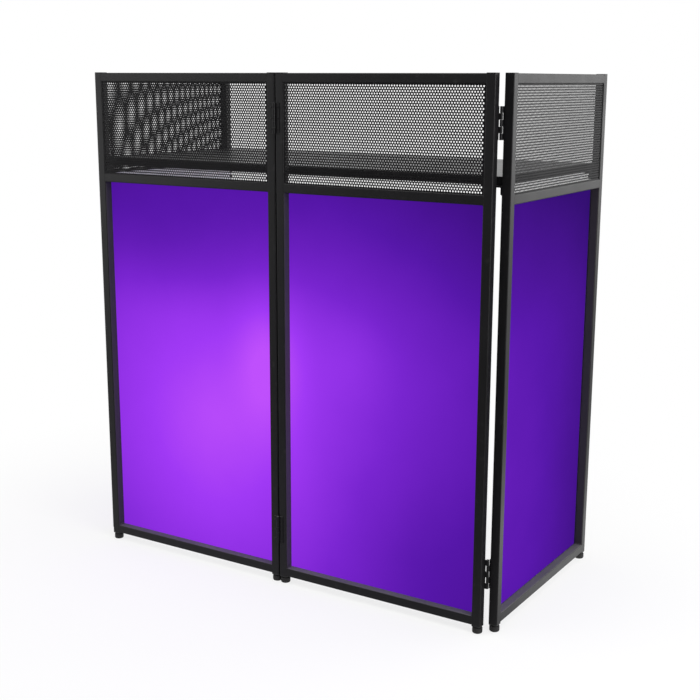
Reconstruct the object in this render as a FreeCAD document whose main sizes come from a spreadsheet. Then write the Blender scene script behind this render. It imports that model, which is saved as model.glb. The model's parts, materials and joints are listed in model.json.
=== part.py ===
"""Folding DJ booth: four hinged tube-frame panels round a lift-off table board.

Millimetres. +Z is up, the front faces -Y, and the origin is the bottom centre of the bounding box.
"""
import FreeCAD
import Part
import Sketcher
import math
import os

DIMENSIONS = [
    ("tube_size", 20, "outside of the square tube"),
    ("tube_wall", 1.2, "wall of the square tube"),
    ("tube_corner", 1, "chamfer on the outside corners of the tube"),
    ("front_width", 515, "width of each front panel"),
    ("side_width", 500, "width of each side panel"),
    ("frame_height", 1138, "length of the posts"),
    ("upper_window", 213, "height of the perforated sheet's window"),
    ("seam_gap", 3, "gap between the two front panels"),
    ("hinge_height", 65, "height of a hinge"),
    ("upper_hinge_inset", 62, "upper end of a post to the hinge below it"),
    ("lower_hinge_inset", 79, "lower end of a post to the hinge above it"),
    ("hinge_offset", 3.5, "hinge axis to the face that a leaf lies on"),
    ("barrel_radius", 3, "outside of a knuckle"),
    ("leaf_reach", 12, "hinge axis to the far edge of a leaf"),
    ("leaf_thickness", 1.5, "hinge leaf sheet"),
    ("leaf_clearance", 0.4, "round the other leaf's knuckles"),
    ("knuckle_clearance", 0.4, "between neighbouring knuckles"),
    ("pin_radius", 1.5, "hinge pin"),
    ("pin_clearance", 0.05, "hinge pin in its knuckles"),
    ("mesh_recess", 2, "outer face of the frame to the perforated sheet"),
    ("mesh_thickness", 0.8, "perforated sheet"),
    ("mesh_pitch", 50, "hole to hole along a row of the sheet"),
    ("mesh_hole", 34, "hole across its flats"),
    ("mesh_border", 8, "least solid edge of the sheet"),
    ("scrim_thickness", 0.6, "stretched fabric"),
    ("tape_width", 8, "hook-and-loop tape along the posts"),
    ("rail_tape_width", 16, "hook-and-loop tape along the rails"),
    ("tape_thickness", 1.2, "both layers of the tape"),
    ("tape_inset", 1, "window edge to the tape"),
    ("foot_height", 18, "floor to the lower end of the posts"),
    ("foot_radius", 11, "rubber foot"),
    ("foot_bevel", 3, "lower edge of the rubber foot"),
    ("neck_radius", 7.5, "groove above the foot's pad"),
    ("neck_height", 3, "groove above the foot's pad"),
    ("stem_size", 8, "square stem of the foot"),
    ("stem_length", 16, "square stem of the foot"),
    ("stem_clearance", 0.05, "stem in its insert"),
    ("insert_head", 3, "collar of the foot insert"),
    ("insert_depth", 22, "foot insert inside the post"),
    ("cap_head", 1, "plate of the post cap"),
    ("cap_depth", 12, "post cap inside the post"),
    ("plug_clearance", 0.1, "insert or cap inside the post"),
    ("bracket_width", 30, "table bracket along its panel"),
    ("bracket_thickness", 3, "table bracket sheet"),
    ("bracket_rise", 17, "middle rail to the underside of the table"),
    ("bracket_reach", 22, "table bracket inwards of its post"),
    ("bracket_inset", 1, "panel end to the table bracket"),
    ("bend_radius", 1.5, "inside of the table bracket's bend"),
    ("table_thickness", 18, "table board"),
    ("table_side_gap", 2.5, "table to each side panel"),
    ("table_front_gap", 17, "table to the front panels"),
    ("table_rear_gap", 7, "table's rear edge inside the side panels' rear"),
    ("edge_band", 1, "banding on the board's edges"),
]
KNUCKLES = 5
KNUCKLE_SHARES = {"upper": ((1, 3), (0, 2, 4)), "lower": ((0, 2, 4), (1, 3))}
KNUCKLE_SIDES = 10
X_AXIS = FreeCAD.Vector(1, 0, 0)
Y_AXIS = FreeCAD.Vector(0, 1, 0)
Z_AXIS = FreeCAD.Vector(0, 0, 1)
UPRIGHT = FreeCAD.Rotation()
ALONG_X = FreeCAD.Rotation(Y_AXIS, 90)
TURNED_OVER = FreeCAD.Rotation(Y_AXIS, 180)
UPSIDE_DOWN = FreeCAD.Rotation(X_AXIS, 180)

# Places worked out from the driving dimensions, as expressions on the sheet.
HALF_TUBE = "dim.tube_size / 2"
FRONT_END = "(dim.seam_gap / 2 + dim.front_width)"
CORNER_GAP = "(2 * dim.hinge_offset)"
SIDE_INNER = f"({FRONT_END} + {CORNER_GAP})"
SIDE_OUTER = f"({SIDE_INNER} + dim.tube_size)"
FRONT_REACH = "(dim.hinge_offset + dim.barrel_radius)"
FOOT_OVERHANG = "max(0; dim.foot_radius - dim.tube_size / 2)"
DEPTH = f"({FRONT_REACH} + dim.tube_size + {CORNER_GAP} + dim.side_width + {FOOT_OVERHANG})"
FRONT_FACE = f"({FRONT_REACH} - {DEPTH} / 2)"
FRONT_BACK = f"({FRONT_FACE} + dim.tube_size)"
SIDE_FRONT = f"({FRONT_BACK} + {CORNER_GAP})"
SIDE_REAR = f"({DEPTH} / 2 - {FOOT_OVERHANG})"
TOP_RAIL = "(dim.frame_height - dim.tube_size)"
MID_RAIL_TOP = f"({TOP_RAIL} - dim.upper_window)"
MID_RAIL = f"({MID_RAIL_TOP} - dim.tube_size)"
LOWER_WINDOW = f"({MID_RAIL} - dim.tube_size)"

doc = FreeCAD.newDocument("dj_booth")
sheet = doc.addObject("Spreadsheet::Sheet", "dim")
for row, (alias, size, note) in enumerate(DIMENSIONS, 1):
    sheet.set(f"A{row}", note)
    sheet.set(f"B{row}", str(size))
    sheet.setAlias(f"B{row}", alias)
doc.recompute()
nodes = []


def value(expression):
    """The number that an expression on the sheet comes to now."""
    return float(sheet.evalExpression(expression))


def bind(item, **expressions):
    """Bind properties of an object to expressions on the sheet."""
    for name, expression in expressions.items():
        item.setExpression(name, expression)


def place(item, x, y, z, rotation=UPRIGHT):
    """Turn an object, and bind its place to expressions on the sheet."""
    item.Placement = FreeCAD.Placement(FreeCAD.Vector(), rotation)
    for axis, expression in zip("xyz", (x, y, z)):
        item.setExpression(f"Placement.Base.{axis}", expression)


def add_node(item, label):
    """Count an object as a sub-part of the booth, under the name of its file."""
    item.Label = label
    nodes.append(item)


def add_group(items, label):
    """Separate solids of one kind that share a sub-part."""
    group = doc.addObject("Part::Compound", label)
    group.Links = items
    add_node(group, label)


def new_box(name, length, width, height):
    box = doc.addObject("Part::Box", name)
    bind(box, Length=length, Width=width, Height=height)
    return box


def new_body(name):
    return doc.addObject("PartDesign::Body", name)


def new_sketch(body, plane):
    """A sketch on one of the body's own origin planes."""
    sketch = body.newObject("Sketcher::SketchObject", f"{body.Name}_sketch")
    support = next(item for item in body.Origin.OriginFeatures if item.Role == plane)
    sketch.AttachmentSupport = (support, [""])
    sketch.MapMode = "FlatFace"
    return sketch


def draw_polygon(sketch, points):
    """A closed outline whose corners are bound to pairs of expressions."""
    first = sketch.GeometryCount
    corners = [FreeCAD.Vector(value(across), value(up)) for across, up in points]
    for start, end in zip(corners, corners[1:] + corners[:1]):
        sketch.addGeometry(Part.LineSegment(start, end))
    for index, point in enumerate(points):
        line = first + index
        following = first + (index + 1) % len(points)
        sketch.addConstraint(Sketcher.Constraint("Coincident", line, 2, following, 1))
        for kind, expression in zip(("DistanceX", "DistanceY"), point):
            size = value(expression)
            number = sketch.addConstraint(Sketcher.Constraint(kind, -1, 1, line, 1, size))
            sketch.setExpression(f"Constraints[{number}]", expression)


def draw_rectangle(sketch, left, right, low, high):
    draw_polygon(sketch, [(left, low), (right, low), (right, high), (left, high)])


def draw_square(sketch, half):
    draw_rectangle(sketch, f"-({half})", half, f"-({half})", half)


def draw_round(sketch, radius):
    """A knuckle's round about the sketch's origin, in few flats; the radius is at its corners."""
    turns = [360 * (side + 1 / 2) / KNUCKLE_SIDES for side in range(KNUCKLE_SIDES)]
    draw_polygon(sketch, [(f"({radius}) * cos({turn})", f"({radius}) * sin({turn})") for turn in turns])


def pad(body, sketch, length, downwards=False):
    feature = body.newObject("PartDesign::Pad", f"{body.Name}_pad")
    feature.Profile = sketch
    feature.Reversed = downwards
    bind(feature, Length=length)
    return feature


def cut_through(body, sketch):
    """Cut a sketch through the whole body, both ways."""
    feature = body.newObject("PartDesign::Pocket", f"{body.Name}_cut")
    feature.Profile = sketch
    feature.SideType = "Symmetric"
    feature.Type = "ThroughAll"
    return feature


def revolve(body, sketch):
    """Turn a profile once round the upright axis."""
    feature = body.newObject("PartDesign::Revolution", f"{body.Name}_revolution")
    feature.Profile = sketch
    feature.ReferenceAxis = (sketch, ["V_Axis"])
    feature.Angle = 360
    return feature


def dress_edges(body, kind, is_wanted):
    """A fillet or chamfer on the edges of the body's last feature whose middle passes a test."""
    doc.recompute()
    base = body.Tip
    names = [
        f"Edge{number}"
        for number, edge in enumerate(base.Shape.Edges, 1)
        if is_wanted(edge.CenterOfMass)
    ]
    feature = body.newObject(f"PartDesign::{kind}", f"{body.Name}_{kind.lower()}")
    feature.Base = (base, names)
    return feature


def fillet(body, radius, is_wanted):
    bind(dress_edges(body, "Fillet", is_wanted), Radius=radius)


def chamfer(body, size, is_wanted):
    bind(dress_edges(body, "Chamfer", is_wanted), Size=size)


def near(first, second):
    return math.isclose(first, second, abs_tol=Part.Precision.approximation())


def is_at(point, y, z):
    return near(point.y, y) and near(point.z, z)


class Panel:
    """A framed panel: x along its width seen from outside, y inwards, z up from the posts' lower end."""

    def __init__(self, name, width, turn, corner_x, corner_y):
        self.name = name
        self.width = width
        self.rotation = FreeCAD.Rotation(Z_AXIS, turn)
        self.cosine = round(math.cos(math.radians(turn)))
        self.sine = round(math.sin(math.radians(turn)))
        self.corner_x = corner_x
        self.corner_y = corner_y

    def place(self, item, x, y, z, rotation=UPRIGHT):
        """Place an object that is given in the panel's own frame."""
        across = f"{self.corner_x} + ({x}) * {self.cosine} - ({y}) * {self.sine}"
        inwards = f"{self.corner_y} + ({x}) * {self.sine} + ({y}) * {self.cosine}"
        place(item, across, inwards, f"dim.foot_height + {z}", self.rotation * rotation)


def make_tube(name, length):
    """A square tube that stands on the middle of its lower end."""
    body = new_body(name)
    section = new_sketch(body, "XY_Plane")
    draw_square(section, HALF_TUBE)
    draw_square(section, f"{HALF_TUBE} - dim.tube_wall")
    pad(body, section, length)
    half = value(HALF_TUBE)
    chamfer(body, "dim.tube_corner", lambda p: near(abs(p.x), half) and near(abs(p.y), half))
    return body


def make_frame(panel):
    """Two posts with three rails welded between them."""
    tubes = []
    for side, x in (("left", HALF_TUBE), ("right", f"{panel.width} - {HALF_TUBE}")):
        post = make_tube(f"{panel.name}_{side}_post", "dim.frame_height")
        panel.place(post, x, HALF_TUBE, "0")
        tubes.append(post)
    for level, z in (("bottom", "0"), ("middle", MID_RAIL), ("top", TOP_RAIL)):
        rail = make_tube(f"{panel.name}_{level}_rail", f"{panel.width} - 2 * dim.tube_size")
        panel.place(rail, "dim.tube_size", HALF_TUBE, f"{z} + {HALF_TUBE}", ALONG_X)
        tubes.append(rail)
    add_group(tubes, f"{panel.name}_frame")


def make_plug(name, head, depth):
    """A moulded plug: its head covers the tube's end at z = 0, and its shank goes up inside."""
    body = new_body(name)
    cover = new_sketch(body, "XY_Plane")
    draw_square(cover, HALF_TUBE)
    pad(body, cover, head, downwards=True)
    half = value(HALF_TUBE)
    chamfer(body, "dim.tube_corner", lambda p: near(abs(p.x), half) and near(abs(p.y), half))
    shank = new_sketch(body, "XY_Plane")
    draw_square(shank, f"{HALF_TUBE} - dim.tube_wall - dim.plug_clearance")
    pad(body, shank, depth)
    return body


def make_foot(name):
    """A turned rubber foot with a groove and a square stem, standing on z = 0."""
    body = new_body(name)
    pad_top = "dim.foot_height - dim.insert_head - dim.neck_height"
    neck_top = "dim.foot_height - dim.insert_head"
    profile = new_sketch(body, "XZ_Plane")
    draw_polygon(profile, [
        ("0", "0"),
        ("dim.foot_radius - dim.foot_bevel", "0"),
        ("dim.foot_radius", "dim.foot_bevel"),
        ("dim.foot_radius", pad_top),
        ("dim.neck_radius", pad_top),
        ("dim.neck_radius", neck_top),
        ("0", neck_top),
    ])
    revolve(body, profile)
    stem = new_sketch(body, "XY_Plane")
    draw_square(stem, "dim.stem_size / 2")
    pad(body, stem, f"{neck_top} + dim.stem_length")
    return body


def make_post_ends(panel):
    """A rubber foot in its insert below each post, and a cap on top."""
    inserts = []
    feet = []
    caps = []
    for side, x in (("left", HALF_TUBE), ("right", f"{panel.width} - {HALF_TUBE}")):
        insert = make_plug(f"{panel.name}_{side}_insert", "dim.insert_head", "dim.insert_depth")
        socket = new_sketch(insert, "XY_Plane")
        draw_square(socket, "dim.stem_size / 2 + dim.stem_clearance")
        cut_through(insert, socket)
        panel.place(insert, x, HALF_TUBE, "0")
        inserts.append(insert)
        foot = make_foot(f"{panel.name}_{side}_foot")
        panel.place(foot, x, HALF_TUBE, "-dim.foot_height")
        feet.append(foot)
        cap = make_plug(f"{panel.name}_{side}_cap", "dim.cap_head", "dim.cap_depth")
        panel.place(cap, x, HALF_TUBE, "dim.frame_height", UPSIDE_DOWN)
        caps.append(cap)
    add_group(inserts, f"{panel.name}_foot_inserts")
    add_group(feet, f"{panel.name}_feet")
    add_group(caps, f"{panel.name}_post_caps")


def closed_wire(points):
    return Part.makePolygon(points + points[:1])


def make_mesh_sheet(panel):
    """Perforated sheet in the upper window: hexagonal holes in staggered rows."""
    width = value(f"{panel.width} - 2 * dim.tube_size")
    height = value("dim.upper_window")
    pitch = value("dim.mesh_pitch")
    row_step = pitch * math.sin(math.radians(60))
    hole_half = value("dim.mesh_hole") / 2
    hole_radius = hole_half / math.cos(math.radians(30))
    border = value("dim.mesh_border")
    columns = int((width - 2 * border - 2 * hole_half) / pitch) + 1
    rows = int((height - 2 * border - 2 * hole_radius) / row_step) + 1
    wires = [closed_wire([
        FreeCAD.Vector(0, 0, 0),
        FreeCAD.Vector(width, 0, 0),
        FreeCAD.Vector(width, 0, height),
        FreeCAD.Vector(0, 0, height),
    ])]
    for row in range(rows):
        holes = columns - row % 2
        z = height / 2 + (row - (rows - 1) / 2) * row_step
        for column in range(holes):
            x = width / 2 + (column - (holes - 1) / 2) * pitch
            corners = [math.radians(30 + 60 * corner) for corner in range(6)]
            wires.append(closed_wire([
                FreeCAD.Vector(x + hole_radius * math.cos(turn), 0, z + hole_radius * math.sin(turn))
                for turn in corners
            ]))
    face = Part.makeFace(wires, "Part::FaceMakerBullseye")
    mesh = doc.addObject("Part::Feature", f"{panel.name}_mesh_sheet")
    mesh.Shape = face.extrude(FreeCAD.Vector(0, value("dim.mesh_thickness"), 0))
    panel.place(mesh, "dim.tube_size", "dim.mesh_recess", MID_RAIL_TOP)
    add_node(mesh, f"{panel.name}_mesh_sheet")


def make_scrim(panel):
    """Fabric stretched behind the lower window, on tape along the inner faces of the tubes."""
    outer = "(dim.tube_size - dim.tape_inset - dim.tape_width)"
    inner = "(dim.tube_size - dim.tape_inset)"
    bottom = "(dim.tube_size - dim.tape_inset - dim.rail_tape_width)"
    full_width = f"{panel.width} - 2 * {outer}"
    full_height = f"{LOWER_WINDOW} + 2 * (dim.tape_inset + dim.rail_tape_width)"
    scrim = new_box(f"{panel.name}_scrim", full_width, "dim.scrim_thickness", full_height)
    panel.place(scrim, outer, "dim.tube_size + dim.tape_thickness", bottom)
    add_node(scrim, f"{panel.name}_scrim")
    strips = []
    for side, x in (("left", outer), ("right", f"{panel.width} - {inner}")):
        name = f"{panel.name}_{side}_tape"
        strip = new_box(name, "dim.tape_width", "dim.tape_thickness", full_height)
        panel.place(strip, x, "dim.tube_size", bottom)
        strips.append(strip)
    across = f"{panel.width} - 2 * {inner}"
    for level, z in (("lower", bottom), ("upper", f"{MID_RAIL} + dim.tape_inset")):
        strip = new_box(f"{panel.name}_{level}_tape", across, "dim.tape_thickness", "dim.rail_tape_width")
        panel.place(strip, inner, "dim.tube_size", z)
        strips.append(strip)
    add_group(strips, f"{panel.name}_scrim_tape")


def make_leaf(name, own_knuckles):
    """A hinge leaf: axis on z, plate along +x, its mounting face towards +y."""
    body = new_body(name)
    plate = new_sketch(body, "XY_Plane")
    inner_face = "dim.hinge_offset - dim.leaf_thickness"
    draw_rectangle(plate, "0", "dim.leaf_reach", inner_face, "dim.hinge_offset")
    pad(body, plate, "dim.hinge_height")
    barrel = new_sketch(body, "XY_Plane")
    draw_round(barrel, "dim.barrel_radius")
    pad(body, barrel, "dim.hinge_height")
    gaps = new_sketch(body, "XZ_Plane")
    clear = "dim.barrel_radius + dim.leaf_clearance"
    step = f"dim.hinge_height / {KNUCKLES}"
    for knuckle in range(KNUCKLES):
        if knuckle in own_knuckles:
            continue
        low = f"{knuckle} * {step} - dim.knuckle_clearance / 2"
        high = f"{knuckle + 1} * {step} + dim.knuckle_clearance / 2"
        draw_rectangle(gaps, f"-({clear})", clear, low, high)
    cut_through(body, gaps)
    bore = new_sketch(body, "XY_Plane")
    draw_round(bore, f"(dim.pin_radius + dim.pin_clearance) / cos({180 / KNUCKLE_SIDES})")
    cut_through(body, bore)
    return body


def make_hinges(edge, x, y, leaves):
    """An upper and a lower hinge on one edge; each leaf has a panel, a turn, and is turned over or not."""
    upper = "dim.frame_height - dim.upper_hinge_inset - dim.hinge_height"
    for level, z in (("upper", upper), ("lower", "dim.lower_hinge_inset")):
        low_end = f"dim.foot_height + {z}"
        high_end = f"{low_end} + dim.hinge_height"
        for own_knuckles, (panel_name, turn, turned_over) in zip(KNUCKLE_SHARES[level], leaves):
            leaf = make_leaf(f"{edge}_{level}_leaf_{panel_name}", own_knuckles)
            rotation = FreeCAD.Rotation(Z_AXIS, turn)
            if turned_over:
                place(leaf, x, y, high_end, rotation * TURNED_OVER)
            else:
                place(leaf, x, y, low_end, rotation)
            add_node(leaf, leaf.Name)
        pin = doc.addObject("Part::Cylinder", f"{edge}_{level}_pin")
        bind(pin, Radius="dim.pin_radius", Height="dim.hinge_height")
        place(pin, x, y, low_end)
        add_node(pin, pin.Name)


def make_brackets(panel, side, front_first):
    """Two bent brackets on the inner faces of a side panel's posts, under the table."""
    near_end = "dim.bracket_inset"
    far_end = f"{panel.width} - dim.bracket_inset - dim.bracket_width"
    order = ("front", "rear") if front_first else ("rear", "front")
    thickness = value("dim.bracket_thickness")
    rise = value("dim.bracket_rise")
    for end, x in zip(order, (near_end, far_end)):
        bracket = new_body(f"{side}_{end}_table_bracket")
        profile = new_sketch(bracket, "YZ_Plane")
        draw_polygon(profile, [
            ("0", "0"),
            ("dim.bracket_thickness", "0"),
            ("dim.bracket_thickness", "dim.bracket_rise - dim.bracket_thickness"),
            ("dim.bracket_reach", "dim.bracket_rise - dim.bracket_thickness"),
            ("dim.bracket_reach", "dim.bracket_rise"),
            ("0", "dim.bracket_rise"),
        ])
        pad(bracket, profile, "dim.bracket_width")
        fillet(bracket, "dim.bend_radius", lambda p: is_at(p, thickness, rise - thickness))
        fillet(bracket, "dim.bend_radius + dim.bracket_thickness", lambda p: is_at(p, 0, rise))
        panel.place(bracket, x, "dim.tube_size", MID_RAIL_TOP)
        add_node(bracket, bracket.Name)


def make_table():
    """The board on the brackets, with banding round its edges."""
    half_width = f"({SIDE_INNER} - dim.table_side_gap)"
    front = f"({FRONT_BACK} + dim.table_front_gap)"
    rear = f"({SIDE_REAR} - dim.table_rear_gap)"
    underside = f"dim.foot_height + {MID_RAIL_TOP} + dim.bracket_rise"
    width = f"2 * {half_width}"
    board_width = f"{width} - 2 * dim.edge_band"
    board_depth = f"{rear} - {front} - 2 * dim.edge_band"
    board = new_box("table_board", board_width, board_depth, "dim.table_thickness")
    place(board, f"dim.edge_band - {half_width}", f"{front} + dim.edge_band", underside)
    add_node(board, "table_board")
    bands = []
    for end, y in (("front", front), ("rear", f"{rear} - dim.edge_band")):
        band = new_box(f"table_{end}_band", width, "dim.edge_band", "dim.table_thickness")
        place(band, f"-{half_width}", y, underside)
        bands.append(band)
    for end, x in (("left", f"-{half_width}"), ("right", f"{half_width} - dim.edge_band")):
        band = new_box(f"table_{end}_band", "dim.edge_band", board_depth, "dim.table_thickness")
        place(band, x, f"{front} + dim.edge_band", underside)
        bands.append(band)
    add_group(bands, "table_edge_band")


front_left = Panel("front_left", "dim.front_width", 0, f"-{FRONT_END}", FRONT_FACE)
front_right = Panel("front_right", "dim.front_width", 0, "dim.seam_gap / 2", FRONT_FACE)
left_side = Panel("left_side", "dim.side_width", -90, f"-{SIDE_OUTER}", SIDE_REAR)
right_side = Panel("right_side", "dim.side_width", 90, SIDE_OUTER, SIDE_FRONT)
for panel in (left_side, front_left, front_right, right_side):
    make_frame(panel)
    make_post_ends(panel)
    make_mesh_sheet(panel)
    make_scrim(panel)

corner_axis = f"({FRONT_END} + dim.hinge_offset)"
corner_depth = f"{FRONT_BACK} + dim.hinge_offset"
make_hinges("seam", "0", f"{FRONT_FACE} - dim.hinge_offset",
            [("front_left", 0, True), ("front_right", 0, False)])
make_hinges("left_corner", f"-{corner_axis}", corner_depth,
            [("front_left", 180, True), ("left_side", 90, False)])
make_hinges("right_corner", corner_axis, corner_depth,
            [("front_right", 180, False), ("right_side", -90, True)])
make_brackets(left_side, "left", front_first=False)
make_brackets(right_side, "right", front_first=True)
make_table()
doc.recompute()

for item in doc.Objects:
    if "Invalid" in item.State or "Error" in item.State:
        raise RuntimeError(f"{item.Label} failed: {item.State}")
for node in nodes:
    if node.Shape.isNull() or not node.Shape.isValid():
        raise RuntimeError(f"{node.Label} has no valid shape")
os.makedirs("parts", exist_ok=True)
for node in nodes:
    node.Shape.exportStep(f"parts/{node.Label}.step")
print(len(nodes), "sub-parts")
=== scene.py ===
"""Looks of the folding DJ booth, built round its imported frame.

Metres, in the frame's own axes: +Z is up and the front faces -Y. A panel's pieces are made in the panel's
own axes, x along its width seen from outside, y inwards and z up from the posts' lower ends, and then put
in place.
"""
import bmesh
import bpy
import json
import math
from mathutils import Matrix, Vector


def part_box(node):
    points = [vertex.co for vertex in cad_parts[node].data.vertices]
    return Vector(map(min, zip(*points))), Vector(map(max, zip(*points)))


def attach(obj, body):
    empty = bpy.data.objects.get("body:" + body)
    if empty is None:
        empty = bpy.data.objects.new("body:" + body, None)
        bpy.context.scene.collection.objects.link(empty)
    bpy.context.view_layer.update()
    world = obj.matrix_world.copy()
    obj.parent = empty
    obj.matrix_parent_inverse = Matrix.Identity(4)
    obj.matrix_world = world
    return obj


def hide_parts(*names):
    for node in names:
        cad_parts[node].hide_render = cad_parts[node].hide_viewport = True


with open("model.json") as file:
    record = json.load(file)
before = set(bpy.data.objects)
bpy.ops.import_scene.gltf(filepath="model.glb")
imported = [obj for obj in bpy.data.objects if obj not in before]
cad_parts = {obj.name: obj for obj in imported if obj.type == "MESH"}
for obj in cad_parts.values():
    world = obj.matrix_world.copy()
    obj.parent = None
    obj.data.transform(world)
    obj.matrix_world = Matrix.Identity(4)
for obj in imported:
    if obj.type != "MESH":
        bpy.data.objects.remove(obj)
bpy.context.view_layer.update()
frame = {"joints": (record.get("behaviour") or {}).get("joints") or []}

MM = 0.001
PANEL_TURNS = {"front_left": 0, "front_right": 0, "left_side": -90, "right_side": 90}
ORIGIN = Vector((0, 0, 0))
ACROSS, INWARDS, UPWARDS = 0, 1, 2
QUARTER_TURN = math.radians(90)
HALF_TURN = math.radians(180)
FULL_TURN = math.radians(360)
UPRIGHT = Matrix.Rotation(QUARTER_TURN, 4, "X")
CREASE = math.radians(40)
MERGE = 0.001 * MM


# Shader sockets and finishes

# The sockets of a Mix node that mixes colours
MIX_FACTOR, MIX_FIRST, MIX_SECOND, MIX_RESULT = 0, 6, 7, 2
# How much of a normal lies along an axis where a face starts to count as facing that way, and where it does
FACING_START, FACING_FULL = 0.7, 0.97
# Slack at the edges of the places that get the painted light beside the cloth
MASK_SLACK = 0.5 * MM


class Wire:
    """A shader socket. Sums on it add Math nodes to its tree."""

    def __init__(self, tree, socket):
        self.tree = tree
        self.socket = socket

    def math(self, operation, *others):
        inputs = dict(enumerate((self,) + others))
        return self.tree.node("ShaderNodeMath", {"operation": operation}, inputs)

    def __add__(self, other):
        return self.math("ADD", other)

    def __mul__(self, other):
        return self.math("MULTIPLY", other)

    def __sub__(self, other):
        return self.math("SUBTRACT", other)

    def __rsub__(self, other):
        return self.math("MULTIPLY", -1) + other

    __radd__ = __add__
    __rmul__ = __mul__

    def between(self, start, end):
        """A number that goes from start to end as this one goes from 0 to 1."""
        return self * (end - start) + start

    def above(self, start, gain):
        """0 up to a start, and rising by gain beyond it."""
        return (self - start).math("MAXIMUM", 0) * gain


class Tree:
    """A node tree that takes its nodes from one method."""

    def __init__(self, tree):
        self.tree = tree

    def node(self, kind, settings=None, inputs=None, output=0):
        node = self.tree.nodes.new(kind)
        for name, setting in (settings or {}).items():
            if name == "stops":
                self.set_stops(node.color_ramp, setting)
            else:
                setattr(node, name, setting)
        self.feed(node, inputs or {})
        return Wire(self, node.outputs[output])

    def feed(self, node, inputs):
        for name, given in inputs.items():
            if isinstance(given, Wire):
                self.tree.links.new(given.socket, node.inputs[name])
            else:
                node.inputs[name].default_value = given

    def set_stops(self, ramp, stops):
        while len(ramp.elements) < len(stops):
            ramp.elements.new(1)
        for element, (position, shade) in zip(ramp.elements, stops):
            element.position = position
            element.color = shade

    def object_coordinates(self):
        return self.node("ShaderNodeTexCoord", output="Object")

    def noise(self, coordinates, size, detail):
        """Noise from 0 to 1 whose grains are about as large as size."""
        inputs = {"Vector": coordinates, "Scale": 1 / size, "Detail": detail}
        return self.node("ShaderNodeTexNoise", None, inputs)

    def blend(self, factor, first, second):
        """A colour between two."""
        inputs = {MIX_FACTOR: factor, MIX_FIRST: first, MIX_SECOND: second}
        return self.node("ShaderNodeMix", {"data_type": "RGBA"}, inputs, output=MIX_RESULT)

    def parts(self, vector):
        """The three parts of a vector."""
        return [self.node("ShaderNodeSeparateXYZ", None, {0: vector}, output=axis) for axis in range(3)]

    def rise(self, value, low, high, start=0.0, end=1.0):
        """A smooth change from start to end as a value goes from low to high."""
        return self.node("ShaderNodeMapRange", {"interpolation_type": "SMOOTHSTEP"}, {
            "Value": value, "From Min": low, "From Max": high, "To Min": start, "To Max": end})

    def facing(self, part):
        """1 where that part of a surface's normal is nearly all of it."""
        return self.rise(part, FACING_START, FACING_FULL)

    def soft_spot(self, place, centre, size):
        """1 at a point, fading to nothing at about twice a size along each axis."""
        away = self.node("ShaderNodeVectorMath", {"operation": "SUBTRACT"}, {0: place, 1: centre})
        away = self.node("ShaderNodeVectorMath", {"operation": "DIVIDE"}, {0: away, 1: size})
        away = self.node("ShaderNodeVectorMath", {"operation": "LENGTH"}, {0: away}, output="Value")
        return (away * away * -1).math("EXPONENT")

    def bump(self, height, depth):
        """A normal for a surface that rises by depth where height is 1."""
        return self.node("ShaderNodeBump", None, {"Height": height, "Distance": depth, "Strength": 1.0})


class Finish(Tree):
    """A material on a Principled shader."""

    def __init__(self, name):
        self.material = bpy.data.materials.new(name)
        self.material.use_nodes = True
        super().__init__(self.material.node_tree)
        self.shader = self.tree.nodes["Principled BSDF"]

    def set(self, **inputs):
        self.feed(self.shader, {name.replace("_", " "): given for name, given in inputs.items()})


def colour(red, green, blue):
    """A colour as written for a screen, 0 to 255, as the shader takes it."""
    shares = [level / 255 for level in (red, green, blue)]
    return tuple(s / 12.92 if s <= 0.04045 else ((s + 0.055) / 1.055) ** 2.4 for s in shares) + (1.0,)


def within(part, low, high):
    """1 between two places."""
    return part.math("GREATER_THAN", low - MASK_SLACK) * part.math("LESS_THAN", high + MASK_SLACK)


def beside_cloth(coat, place, normal):
    """1 on the sides of the posts round the cloth, where painted light from its glow is laid."""
    front_low, front_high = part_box("front_right_mesh_sheet")
    side_low, side_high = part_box("right_side_mesh_sheet")
    cloth_low, cloth_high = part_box("front_right_scrim")
    on_front = within(place[ACROSS].math("ABSOLUTE"), front_low.x, front_high.x)
    on_side = within(place[INWARDS], side_low.y, side_high.y)
    across, inwards = [coat.facing(normal[axis].math("ABSOLUTE")) for axis in (ACROSS, INWARDS)]
    return (on_front * across + on_side * inwards) * within(place[UPWARDS], cloth_low.z, cloth_high.z)


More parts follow.
